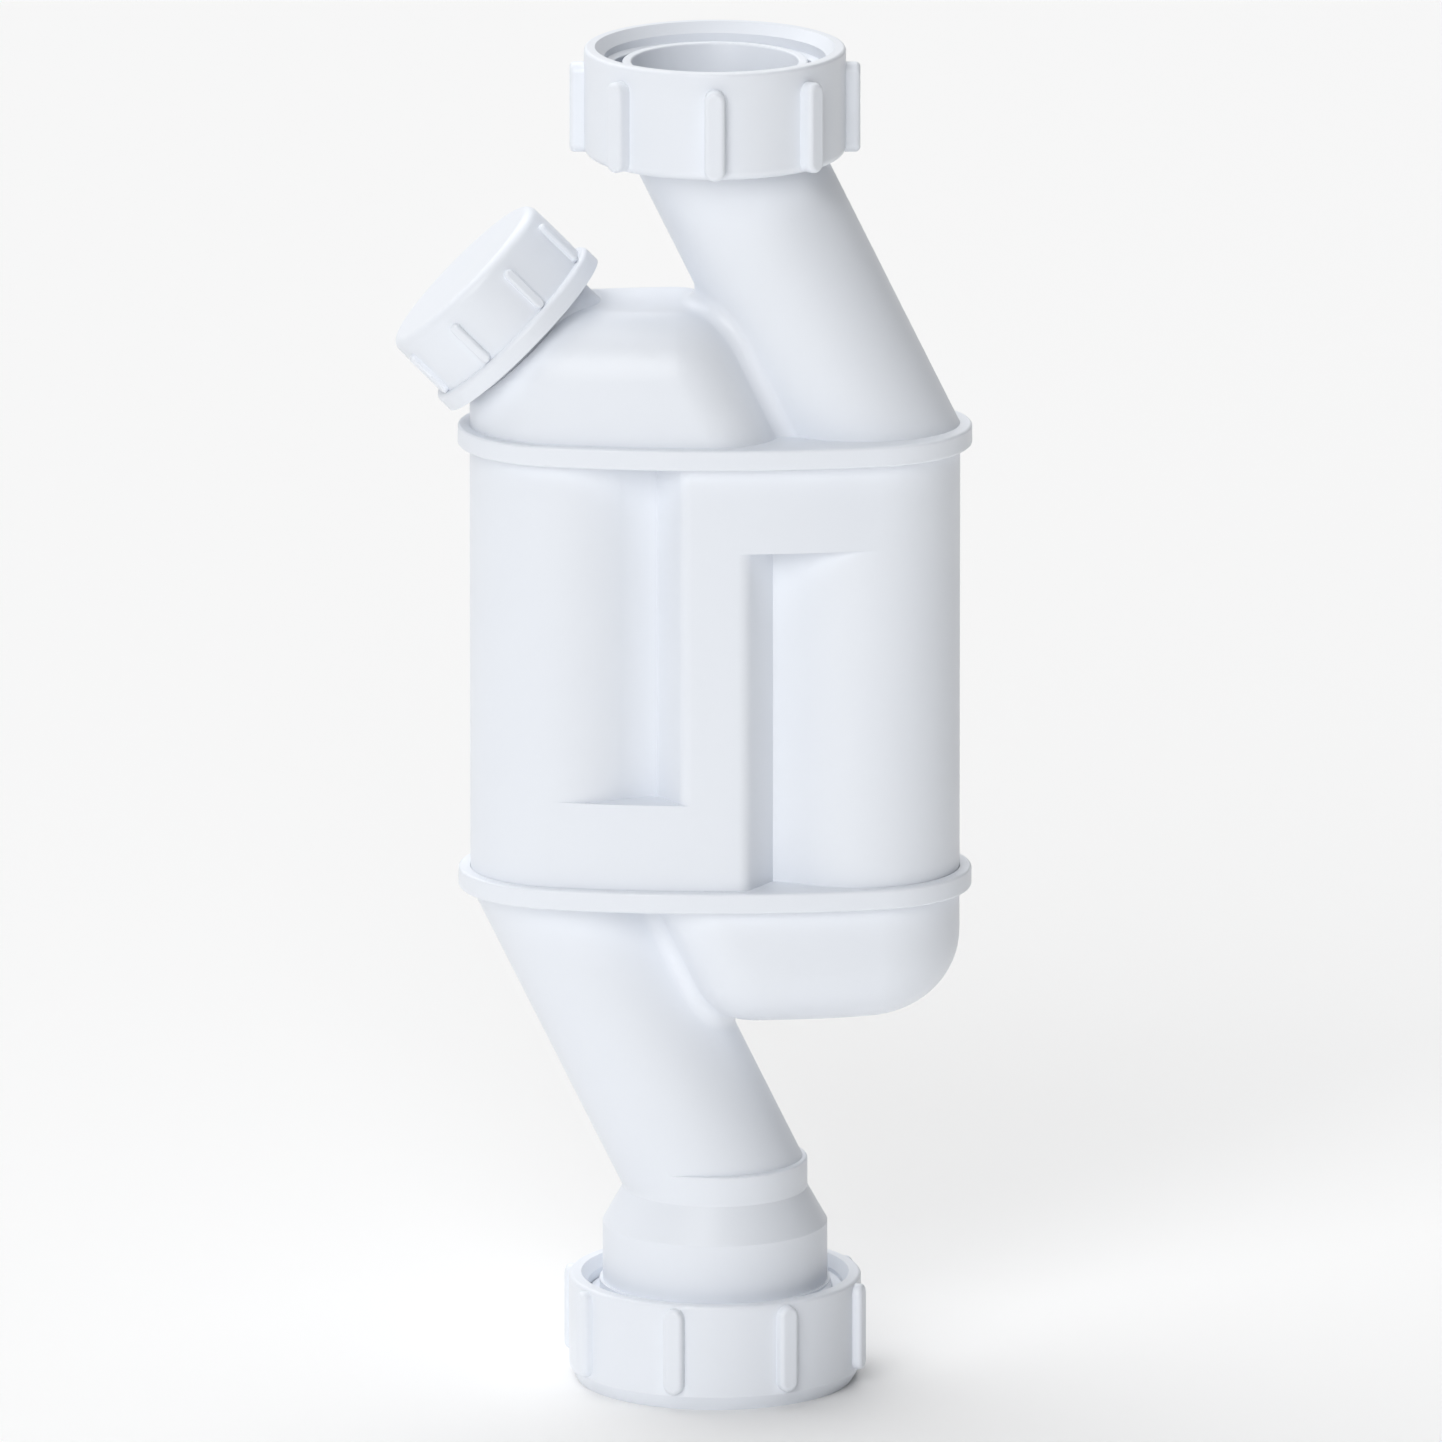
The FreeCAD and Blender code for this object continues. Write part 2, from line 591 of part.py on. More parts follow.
def rib(crest, root, width, length, foot, rounding):
    """One pill-shaped grip rib standing out along +X, its lower end at foot."""
    half = width / 2
    low = foot + half
    high = foot + length - half
    lines = [Part.makeLine(Vec(0, half, low), Vec(0, half, high))]
    lines.append(arc_edge(Vec(0, half, high), Vec(0, 0, high + half), Vec(0, -half, high)))
    lines.append(Part.makeLine(Vec(0, -half, high), Vec(0, -half, low)))
    lines.append(arc_edge(Vec(0, -half, low), Vec(0, 0, low - half), Vec(0, half, low)))
    bar = Part.Face(Part.Wire(lines)).extrude(Vec(crest - root, 0, 0))
    bar.translate(Vec(root, 0, 0))
    outer = [edge for edge in bar.Edges if edge.BoundBox.XMin > crest - 0.01]
    return bar.makeFillet(rounding, outer)


def ribbed(body, single, phase):
    """Body with a ring of ribs; the phase is measured from the front towards +X."""
    ribs = []
    for number in range(RIB_COUNT):
        copy = single.copy()
        turn = phase - 90 + number * 360 / RIB_COUNT
        copy.rotate(Vec(0, 0, 0), Vec(0, 0, 1), turn)
        ribs.append(copy)
    return body.fuse(ribs)


def inlet_nut():
    """Captive nut that draws the waste outlet down on the washer."""
    body = turned([
        (LIP_RADIUS + INLET_LIP_FLARE, INLET_NUT_FOOT, 0),
        (INLET_NUT_RADIUS, INLET_NUT_FOOT, INLET_FOOT_ROUND),
        (INLET_NUT_RADIUS, INLET_NUT_TOP, EDGE_ROUND),
        (INLET_THREAD + INLET_NUT_MOUTH, INLET_NUT_TOP, 0),
        (INLET_THREAD, INLET_NUT_TOP - INLET_NUT_LEAD, 0),
        (INLET_THREAD, LIP_TOP, 0),
        (LIP_RADIUS, LIP_TOP, 0),
    ])
    crest = INLET_NUT_RADIUS + INLET_RIB_PROUD
    root = INLET_NUT_RADIUS - RIB_SINK
    foot = INLET_NUT_TOP - INLET_RIB_TOP - INLET_RIB_LENGTH
    single = rib(crest, root, RIB_WIDTH, INLET_RIB_LENGTH, foot, RIB_ROUND)
    return ribbed(body, single, INLET_RIB_PHASE)


def inlet_washer():
    """Rubber washer that lies on the collar round the spigot."""
    inner = SPIGOT_RADIUS + WASHER_GAP
    return ring(INLET_THREAD - WASHER_INSET, inner, COLLAR_TOP, COLLAR_TOP + WASHER_THICK)


def outlet_nut():
    """Compression nut that squeezes the tapered seal on the waste pipe."""
    body = turned([
        (PIPE_BORE, 0, 0),
        (OUTLET_NUT_RADIUS - OUTLET_FOOT_TAPER, 0, 0),
        (OUTLET_NUT_RADIUS, OUTLET_NUT_FLOOR, 0),
        (OUTLET_NUT_RADIUS, OUTLET_NUT_HEIGHT, EDGE_ROUND),
        (OUTLET_NUT_BORE + OUTLET_NUT_MOUTH, OUTLET_NUT_HEIGHT, 0),
        (OUTLET_NUT_BORE, OUTLET_NUT_HEIGHT - OUTLET_NUT_LEAD, 0),
        (OUTLET_NUT_BORE, OUTLET_NUT_FLOOR, 0),
        (PIPE_BORE, OUTLET_NUT_FLOOR, 0),
    ])
    crest = OUTLET_NUT_RADIUS + OUTLET_RIB_PROUD
    root = OUTLET_NUT_RADIUS - RIB_SINK
    single = rib(crest, root, RIB_WIDTH, OUTLET_RIB_LENGTH, OUTLET_RIB_RISE, RIB_ROUND)
    return ribbed(body, single, OUTLET_RIB_PHASE)


def outlet_slip_ring():
    """Hard ring that lets the nut turn without dragging the seal."""
    return ring(SLIP_RING_RADIUS, PIPE_BORE, RING_FOOT, RING_TOP)


def outlet_seal():
    """Tapered rubber seal that enters the socket's cone."""
    cone_foot = RING_TOP + SEAL_BASE
    top = RING_TOP + SEAL_HEIGHT
    at_foot = SOCKET_LIP - SEAL_GAP + (SOCKET_FOOT - cone_foot) * CONE_SLOPE
    at_top = SOCKET_LIP - SEAL_GAP - (top - SOCKET_FOOT) * CONE_SLOPE
    return turned([
        (PIPE_BORE, RING_TOP, 0),
        (SEAL_RADIUS, RING_TOP, 0),
        (SEAL_RADIUS, cone_foot, 0),
        (at_foot, cone_foot, 0),
        (at_top, top, 0),
        (PIPE_BORE, top, 0),
    ])


def eye_cap():
    """Screw cap of the cleaning eye."""
    flange = EYE_CAP_RADIUS + EYE_FLANGE_PROUD
    body = turned([
        (EYE_CAP_BORE, 0, 0),
        (flange, 0, 0),
        (flange, EYE_FLANGE_HEIGHT, EYE_FLANGE_ROUND),
        (EYE_CAP_RADIUS, EYE_FLANGE_HEIGHT, 0),
        (EYE_CAP_RADIUS, EYE_CAP_HEIGHT, EYE_CAP_ROUND),
        (0, EYE_CAP_HEIGHT, 0),
        (0, EYE_CAP_INSIDE, 0),
        (EYE_CAP_BORE, EYE_CAP_INSIDE, 0),
    ])
    crest = EYE_CAP_RADIUS + EYE_RIB_PROUD
    root = EYE_CAP_RADIUS - RIB_SINK
    single = rib(crest, root, EYE_RIB_WIDTH, EYE_RIB_LENGTH, EYE_RIB_RISE, EYE_RIB_ROUND)
    return eye_placed(ribbed(body, single, EYE_RIB_PHASE))


def eye_seal():
    """Flat seal between the neck's end and the cap."""
    inner = EYE_NECK_RADIUS - WALL
    foot = EYE_NECK_HEIGHT + RUNNING_GAP
    return eye_placed(ring(EYE_CAP_BORE - EYE_SEAL_INSET, inner, foot, foot + EYE_SEAL_THICK))


NODES = {
    "top_cover": top_cover,
    "trap_body": trap_body,
    "bottom_cover": bottom_cover,
    "inlet_nut": inlet_nut,
    "inlet_washer": inlet_washer,
    "outlet_nut": outlet_nut,
    "outlet_slip_ring": outlet_slip_ring,
    "outlet_seal": outlet_seal,
    "eye_cap": eye_cap,
    "eye_seal": eye_seal,
}


def write_parts():
    """Build each piece and write it as one STEP file."""
    os.makedirs("parts", exist_ok=True)
    for name, make in NODES.items():
        shape = make()
        shape.exportStep(f"parts/{name}.step")
        print(name, shape.isValid(), len(shape.Solids), round(shape.Volume))


write_parts()
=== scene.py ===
"""Straight-through waste trap: finishes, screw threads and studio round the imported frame."""

from __future__ import annotations

import json
import logging
import math
from dataclasses import dataclass
from enum import Enum

import bmesh
import bpy
from mathutils import Matrix, Vector

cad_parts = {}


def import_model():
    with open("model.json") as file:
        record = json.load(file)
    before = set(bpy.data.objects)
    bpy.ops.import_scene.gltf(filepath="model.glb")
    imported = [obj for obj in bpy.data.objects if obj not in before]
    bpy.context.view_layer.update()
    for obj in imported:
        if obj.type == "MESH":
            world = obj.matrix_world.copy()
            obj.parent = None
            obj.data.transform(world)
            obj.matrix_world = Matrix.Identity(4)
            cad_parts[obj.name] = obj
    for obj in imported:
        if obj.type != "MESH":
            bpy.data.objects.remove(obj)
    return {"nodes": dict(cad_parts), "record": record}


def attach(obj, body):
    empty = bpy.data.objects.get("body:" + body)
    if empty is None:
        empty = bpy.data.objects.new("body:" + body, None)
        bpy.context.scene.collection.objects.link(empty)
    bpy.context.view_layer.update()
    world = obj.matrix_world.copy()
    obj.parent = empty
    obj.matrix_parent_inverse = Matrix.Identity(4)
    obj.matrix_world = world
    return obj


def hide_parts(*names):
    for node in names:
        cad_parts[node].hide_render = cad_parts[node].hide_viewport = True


log = logging.getLogger("trap")

MM = 0.001
# A noise texture seldom leaves the range between these two.
NOISE_LOW = 0.3
NOISE_HIGH = 0.7


class Slot(Enum):
    """The record's material slots."""

    PLASTIC = "white_polypropylene"
    RUBBER = "seal_rubber"


def linear(code: str) -> tuple[float, float, float, float]:
    """Turn an sRGB hex colour into linear light.

    Args:
        code: Six hex digits, with or without a leading #.

    Returns:
        Red, green, blue and a full alpha.
    """
    digits = code.lstrip("#")
    parts = [int(digits[i : i + 2], 16) / 255 for i in (0, 2, 4)]
    light = [c / 12.92 if c <= 0.04045 else ((c + 0.055) / 1.055) ** 2.4 for c in parts]
    return (light[0], light[1], light[2], 1.0)


def add_node(
    tree: bpy.types.NodeTree,
    kind: str,
    links: dict | None = None,
    sockets: dict | None = None,
    **settings: object,
) -> bpy.types.Node:
    """Add one shader node with its settings and links.

    Args:
        tree: The node tree of a material or of the world.
        kind: The node's type name.
        links: Input socket name or number to the output socket that feeds it.
        sockets: Input socket name or number to the constant that it holds.
        settings: Properties of the node itself.

    Returns:
        The new node.
    """
    node = tree.nodes.new(kind)
    for name, value in settings.items():
        setattr(node, name, value)
    for name, value in (sockets or {}).items():
        node.inputs[name].default_value = value
    for name, output in (links or {}).items():
        tree.links.new(output, node.inputs[name])
    return node


def empty_material(name: str) -> bpy.types.Material:
    """Make a material whose node tree is still empty."""
    made = bpy.data.materials.new(name)
    made.use_nodes = True
    made.node_tree.nodes.clear()
    return made


def pattern_scale(size_mm: float) -> float:
    """Give the texture scale whose feature is so many millimetres, on coordinates in metres."""
    return 1.0 / (size_mm * MM)


@dataclass(frozen=True)
class MouldedPolypropylene:
    """White polypropylene copolymer, injection moulded in a fine spark-finished tool.

    It gives the eye a clean cool white with a soft satin sheen, broken by a very fine grain
    and by slow unevenness where the melt flowed.
    """

    name: str = "moulded_polypropylene"
    white: str = "#EDF1F7"
    cloudy: str = "#EAEEF5"
    ior: float = 1.49
    roughness: float = 0.38
    roughness_swing: float = 0.04
    # The tool's real spark grain is near 0.1 mm: it is drawn coarser, so that it still shows.
    grain_mm: float = 0.35
    grain_detail: float = 2.0
    grain_bump: float = 0.06
    grain_depth_mm: float = 0.05
    flow_mm: float = 26.0
    flow_detail: float = 3.0
    flow_roughness: float = 0.5

    def material(self) -> bpy.types.Material:
        """Build the node material."""
        made = empty_material(self.name)
        tree = made.node_tree
        place = add_node(tree, "ShaderNodeTexCoord").outputs["Object"]
        flow = add_node(
            tree,
            "ShaderNodeTexNoise",
            {"Vector": place},
            sockets={
                "Scale": pattern_scale(self.flow_mm),
                "Detail": self.flow_detail,
                "Roughness": self.flow_roughness,
            },
        )
        grain = add_node(
            tree,
            "ShaderNodeTexNoise",
            {"Vector": place},
            sockets={"Scale": pattern_scale(self.grain_mm), "Detail": self.grain_detail},
        )
        tint = add_node(tree, "ShaderNodeMix", {"Factor": flow.outputs["Fac"]}, data_type="RGBA")
        tint.inputs["A"].default_value = linear(self.white)
        tint.inputs["B"].default_value = linear(self.cloudy)
        sheen = add_node(
            tree,
            "ShaderNodeMapRange",
            {"Value": flow.outputs["Fac"]},
            sockets={
                "From Min": NOISE_LOW,
                "From Max": NOISE_HIGH,
                "To Min": self.roughness - self.roughness_swing,
                "To Max": self.roughness + self.roughness_swing,
            },
        )
        bump = add_node(
            tree,
            "ShaderNodeBump",
            {"Height": grain.outputs["Fac"]},
            sockets={"Strength": self.grain_bump, "Distance": self.grain_depth_mm * MM},
        )
        shader = add_node(
            tree,
            "ShaderNodeBsdfPrincipled",
            {
                "Base Color": tint.outputs["Result"],
                "Roughness": sheen.outputs["Result"],
                "Normal": bump.outputs["Normal"],
            },
            sockets={"IOR": self.ior},
        )
        add_node(tree, "ShaderNodeOutputMaterial", {"Surface": shader.outputs["BSDF"]})
        return made


@dataclass(frozen=True)
class SealRubber:
    """Black EPDM rubber, press moulded.

    It gives the eye a dull dark ring beside the white plastic, clouded by a faint grey bloom.
    """

    name: str = "seal_rubber"
    black: str = "#1E1F22"
    bloom: str = "#33353A"
    ior: float = 1.52
    roughness: float = 0.62
    bloom_mm: float = 2.5
    bloom_detail: float = 4.0
    bloom_bump: float = 0.15
    bloom_depth_mm: float = 0.05

    def material(self) -> bpy.types.Material:
        """Build the node material."""
        made = empty_material(self.name)
        tree = made.node_tree
        place = add_node(tree, "ShaderNodeTexCoord").outputs["Object"]
        cloud = add_node(
            tree,
            "ShaderNodeTexNoise",
            {"Vector": place},
            sockets={"Scale": pattern_scale(self.bloom_mm), "Detail": self.bloom_detail},
        )
        tint = add_node(tree, "ShaderNodeMix", {"Factor": cloud.outputs["Fac"]}, data_type="RGBA")
        tint.inputs["A"].default_value = linear(self.black)
        tint.inputs["B"].default_value = linear(self.bloom)
        bump = add_node(
            tree,
            "ShaderNodeBump",
            {"Height": cloud.outputs["Fac"]},
            sockets={"Strength": self.bloom_bump, "Distance": self.bloom_depth_mm * MM},
        )
        shader = add_node(
            tree,
            "ShaderNodeBsdfPrincipled",
            {"Base Color": tint.outputs["Result"], "Normal": bump.outputs["Normal"]},
            sockets={"Roughness": self.roughness, "IOR": self.ior},
        )
        add_node(tree, "ShaderNodeOutputMaterial", {"Surface": shader.outputs["BSDF"]})
        return made


@dataclass
class Finishes:
    """The two finished materials, made once and shared."""

    plastic: bpy.types.Material
    rubber: bpy.types.Material

    @classmethod
    def make(cls) -> "Finishes":
        """Build both materials."""
        return cls(MouldedPolypropylene().material(), SealRubber().material())

    def dress(self, piece: bpy.types.Object, slot: Slot) -> None:
        """Give a piece its one material, the one for its record slot.

        Args:
            piece: The new piece.
            slot: The record's slot that it takes its finish from.
        """
        piece.data.materials.clear()
        piece.data.materials.append(self.plastic if slot is Slot.PLASTIC else self.rubber)


def new_piece(name: str, shape: bmesh.types.BMesh, edge_angle: float = 30.0) -> bpy.types.Object:
    """Turn a bmesh into an object at the origin, smooth between its true edges.

    Args:
        name: The piece's name.
        shape: The finished shape, in metres and in place. It is freed.
        edge_angle: Faces that meet at a sharper angle than this, in degrees, keep their edge.

    Returns:
        The linked object.
    """
    limit = math.radians(edge_angle)
    for face in shape.faces:
        face.smooth = True
    for edge in shape.edges:
        edge.smooth = edge.calc_face_angle(math.pi) < limit
    mesh = bpy.data.meshes.new(name)
    shape.to_mesh(mesh)
    shape.free()
    piece = bpy.data.objects.new(name, mesh)
    bpy.context.scene.collection.objects.link(piece)
    return piece


@dataclass
class Frame:
    """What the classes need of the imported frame: nodes, joints and screw pitches by name."""

    nodes: dict[str, bpy.types.Object]
    joints: dict[str, dict]
    pitches: dict[str, float]

    @classmethod
    def load(cls) -> "Frame":
        """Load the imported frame, and turn its couplings' ratios into metres a turn."""
        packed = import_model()
        behaviour = packed["record"]["behaviour"]
        joints = {joint["name"]: joint for joint in behaviour["joints"]}
        couplings = behaviour["couplings"]
        pitches = {pair["follows"]: pair["ratio"] * 2 * math.pi for pair in couplings}
        return cls(packed["nodes"], joints, pitches)

    def axis(self, joint: str) -> Matrix:
        """Give the place and direction of a joint.

        Args:
            joint: The joint's name.

        Returns:
            A matrix that takes +Z through the origin to the joint's upward axis.
        """
        facts = self.joints[joint]
        along = Vector(facts["axis"])
        if along.z < 0:
            along.negate()
        lean = Vector((0.0, 0.0, 1.0)).rotation_difference(along).to_matrix().to_4x4()
        return Matrix.Translation(Vector(facts["pos_m"])) @ lean


@dataclass
class Moulding:
    """One moulded piece: the frame's solid with its surface made smooth between true edges."""

    node: str
    body: str
    slot: Slot
    edge_angle: float = 24.0
    merge_mm: float = 0.002

    def build(self, frame: Frame, finishes: Finishes) -> bpy.types.Object:
        """Merge a copy of the node, shade it smooth and dress it.

        Args:
            frame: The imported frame.
            finishes: The shared materials.

        Returns:
            The new piece.
        """
        shape = bmesh.new()
        shape.from_mesh(frame.nodes[self.node].data)
        nearest = self.merge_mm * MM
        bmesh.ops.remove_doubles(shape, verts=shape.verts, dist=nearest)
        bmesh.ops.dissolve_degenerate(shape, edges=shape.edges, dist=nearest)
        piece = new_piece(f"{self.node}_moulding", shape, self.edge_angle)
        even = piece.modifiers.new("even_normals", "WEIGHTED_NORMAL")
        even.keep_sharp = True
        finishes.dress(piece, self.slot)
        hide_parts(self.node)
        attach(piece, self.body)
        return piece


@dataclass
class ScrewThread:
    """One right-handed thread ridge on a round wall, in millimetres.

    The ridge is bedded a little in its wall, rounded along its crest, and runs out into the
    wall over a share of a turn at both ends, down to its thinnest share of the full height.
    """

    name: str
    body: str
    root_radius: float
    crest_radius: float
    root_width: float
    crest_width: float
    foot: float
    turns: float
    pitch: float
    bed: float = 0.2
    crest_round: float = 0.18
    crest_segments: int = 3
    steps_per_turn: int = 96
    run_out: float = 0.16
    thinnest: float = 0.03

    def section(self, shape: bmesh.types.BMesh) -> None:
        """Draw the ridge's cross-section, standing on the wall and rounded along its crest.

        Args:
            shape: The empty bmesh that takes it.
        """
        outwards = math.copysign(1.0, self.crest_radius - self.root_radius)
        root = self.root_radius - outwards * self.bed
        corners = (
            (root, self.root_width / 2),
            (self.crest_radius, self.crest_width / 2),
            (self.crest_radius, -self.crest_width / 2),
            (root, -self.root_width / 2),
        )
        points = [shape.verts.new((radius, 0.0, self.foot + rise)) for radius, rise in corners]
        shape.faces.new(points)
        bmesh.ops.bevel(
            shape,
            geom=points[1:3],
            offset=self.crest_round,
            offset_type="OFFSET",
            affect="VERTICES",
            segments=self.crest_segments,
            profile=0.5,
            material=-1,
        )

    def taper(self, shape: bmesh.types.BMesh) -> None:
        """Let both ends of the ridge run out into the wall.

        Args:
            shape: The swept ridge, still upright about the origin.
        """
        for vert in shape.verts:
            angle = math.atan2(vert.co.y, vert.co.x) / (2 * math.pi)
            done = angle + round((vert.co.z - self.foot) / self.pitch - angle)
            left = max(0.0, min(done, self.turns - done) / self.run_out)
            share = max(self.thinnest, math.sin(min(1.0, left) * math.pi / 2))
            radius = math.hypot(vert.co.x, vert.co.y)
            wanted = self.root_radius + (radius - self.root_radius) * share
            vert.co.x *= wanted / radius
            vert.co.y *= wanted / radius

    def build(self, place: Matrix, finishes: Finishes) -> bpy.types.Object:
        """Sweep the section up its helix and fit the ridge on its axis.

        Args:
            place: The matrix of the thread's axis, in metres.
            finishes: The shared materials.

        Returns:
            The new piece.
        """
        shape = bmesh.new()
        self.section(shape)
        steps = round(self.turns * self.steps_per_turn)
        bmesh.ops.spin(
            shape,
            geom=shape.verts[:] + shape.edges[:] + shape.faces[:],
            cent=(0.0, 0.0, 0.0),
            axis=(0.0, 0.0, 1.0),
            dvec=(0.0, 0.0, self.turns * self.pitch / steps),
            angle=self.turns * 2 * math.pi,
            steps=steps,
            use_merge=False,
        )
        self.taper(shape)
        bmesh.ops.recalc_face_normals(shape, faces=shape.faces)
        bmesh.ops.transform(shape, matrix=place @ Matrix.Scale(MM, 4), verts=shape.verts)
        piece = new_piece(self.name, shape)
        finishes.dress(piece, Slot.PLASTIC)
        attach(piece, self.body)
        return piece


@dataclass
class GrooveFillets:
    """Hollow rounding at the foot of the four grooves, in millimetres.

    It leaves the leg's wall where that wall leans so many degrees, and ends on the flank at
    some climb over the groove's deepest line. The first seven sizes are the body's own.
    """

    leg_x: float = 31.2
    leg_radius: float = 22.0
    web: float = 13.9
    flank_angle: float = 59.0
    foot: float = 133.9
    top: float = 208.9
    middle: float = 161.9
    lean: float = 30.0
    climb: float = 2.6
    sunk: float = 0.3
    segments: int = 14

    def section(self, shape: bmesh.types.BMesh) -> None:
        """Draw the left back fillet's cross-section, between the leg's wall and the flank.

        Args:
            shape: The empty bmesh that takes it.
        """
        angle = math.radians(self.flank_angle)
        along = Vector((math.cos(angle), math.sin(angle), 0.0))
        inward = Vector((math.sin(angle), -math.cos(angle), 0.0))
        leg = Vector((-self.leg_x, 0.0, 0.0))
        depth = math.sqrt(self.leg_radius**2 - (self.leg_x - self.web) ** 2)
        deep = Vector((-self.web, depth, 0.0))
        lean = math.radians(self.lean)
        outward = Vector((math.sin(lean), math.cos(lean), 0.0))
        start = leg + outward * self.leg_radius
        end = deep + along * self.climb
        chord = end - start
        hub = start + outward * (chord.dot(chord) / (2 * chord.dot(outward)))
        first = shape.verts.new(start)
        bmesh.ops.spin(
            shape,
            geom=[first],
            cent=hub,
            axis=(start - hub).cross(end - hub).normalized(),
            angle=(start - hub).angle(end - hub),
            steps=self.segments,
            use_merge=False,
        )
        buried = deep + (inward + (leg - deep).normalized()) * self.sunk
        shape.verts.new(buried)
        shape.faces.new(shape.verts[:])

    def build(self, finishes: Finishes, body: str) -> bpy.types.Object:
        """Raise the section, and repeat it in front and, given half a turn, on the right.

        Args:
            finishes: The shared materials.
            body: The body that it rides.

        Returns:
            The new piece.
        """
        shape = bmesh.new()
        self.section(shape)
        raised = bmesh.ops.extrude_face_region(shape, geom=shape.faces[:], use_keep_orig=True)
        lifted = [part for part in raised["geom"] if isinstance(part, bmesh.types.BMVert)]
        height = Vector((0.0, 0.0, self.top - self.foot + 2 * self.sunk))
        bmesh.ops.translate(shape, vec=height, verts=lifted)
        bmesh.ops.translate(shape, vec=(0.0, 0.0, self.foot - self.sunk), verts=shape.verts)
        front = Matrix.Scale(-1.0, 4, (0.0, 1.0, 0.0))
        turned = Matrix.Translation((0.0, 0.0, self.middle)) @ Matrix.Rotation(math.pi, 4, "Y")
        turned = turned @ Matrix.Translation((0.0, 0.0, -self.middle))
        for change in (front, turned):
            whole = shape.verts[:] + shape.edges[:] + shape.faces[:]
            copy = bmesh.ops.duplicate(shape, geom=whole)
            verts = [part for part in copy["geom"] if isinstance(part, bmesh.types.BMVert)]
            bmesh.ops.transform(shape, matrix=change, verts=verts)
        bmesh.ops.recalc_face_normals(shape, faces=shape.faces)
        bmesh.ops.transform(shape, matrix=Matrix.Scale(MM, 4), verts=shape.verts)
        piece = new_piece("groove_fillets", shape)
        finishes.dress(piece, Slot.PLASTIC)
        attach(piece, body)
        return piece


@dataclass
class TrapShell:
    """The welded shell: body, top cover with the inlet tube, bottom cover with the outlet tube."""

    body: str = "trap"
    nodes: tuple[str, ...] = ("top_cover", "trap_body", "bottom_cover")

    def build(self, frame: Frame, finishes: Finishes) -> list[bpy.types.Object]:
        """Build the shell's three mouldings and the rounding in its grooves.

        Args:
            frame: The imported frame.
            finishes: The shared materials.

        Returns:
            The new pieces.
        """
        mouldings = [Moulding(node, self.body, Slot.PLASTIC) for node in self.nodes]
        pieces = [moulding.build(frame, finishes) for moulding in mouldings]
        pieces.append(GrooveFillets().build(finishes, self.body))
        return pieces


@dataclass
class InletUnion:
    """Union nut with its G 1 1/2 thread, and the washer on the collar."""

    thread_root: float = 23.95
    thread_crest: float = 22.5
    thread_pitch: float = 2.309
    thread_root_width: float = 1.75
    thread_crest_width: float = 0.55
    thread_foot: float = 7.4
    thread_turns: float = 3.0

    def build(self, frame: Frame, finishes: Finishes) -> list[bpy.types.Object]:
        """Build the nut, its inner thread and the washer.

        Args:
            frame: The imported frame.
            finishes: The shared materials.

        Returns:
            The new pieces.
        """
        nut = Moulding("inlet_nut", "inlet_nut", Slot.PLASTIC).build(frame, finishes)
        washer = Moulding("inlet_washer", "trap", Slot.RUBBER).build(frame, finishes)
        ridge = ScrewThread(
            name="inlet_nut_thread",
            body="inlet_nut",
            root_radius=self.thread_root,
            crest_radius=self.thread_crest,
            root_width=self.thread_root_width,
            crest_width=self.thread_crest_width,
            foot=self.thread_foot,
            turns=self.thread_turns,
            pitch=self.thread_pitch,
        )
        return [nut, washer, ridge.build(frame.axis("inlet_nut_turn"), finishes)]


@dataclass
class CompressionOutlet:
    """Compression nut on the socket, with both threads, the slip ring and the tapered seal."""

    nut_root: float = 27.65
    nut_crest: float = 25.6
    socket_root: float = 25.2
    socket_crest: float = 27.35
    root_width: float = 1.9
    crest_width: float = 0.8
    socket_foot: float = 7.1
    socket_turns: float = 3.0
    nut_turns: float = 2.25

    def build(self, frame: Frame, finishes: Finishes) -> list[bpy.types.Object]:
        """Build the nut, the packing and the two threads, half a pitch apart.

        Args:
            frame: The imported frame.
            finishes: The shared materials.

        Returns:
            The new pieces.
        """
        pitch = frame.pitches["outlet_nut_turn"] / MM
        axis = frame.axis("outlet_nut_turn")
        nut = Moulding("outlet_nut", "outlet_nut", Slot.PLASTIC).build(frame, finishes)
        ring = Moulding("outlet_slip_ring", "outlet_packing", Slot.PLASTIC).build(frame, finishes)
        seal = Moulding("outlet_seal", "outlet_packing", Slot.RUBBER).build(frame, finishes)
        socket_ridge = ScrewThread(
            name="outlet_socket_thread",
            body="trap",
            root_radius=self.socket_root,
            crest_radius=self.socket_crest,
            root_width=self.root_width,
            crest_width=self.crest_width,
            foot=self.socket_foot,
            turns=self.socket_turns,
            pitch=pitch,
        )
        nut_ridge = ScrewThread(
            name="outlet_nut_thread",
            body="outlet_nut",
            root_radius=self.nut_root,
            crest_radius=self.nut_crest,
            root_width=self.root_width,
            crest_width=self.crest_width,
            foot=self.socket_foot + pitch / 2,
            turns=self.nut_turns,
            pitch=pitch,
        )
        ridges = [ridge.build(axis, finishes) for ridge in (socket_ridge, nut_ridge)]
        return [nut, ring, seal, *ridges]


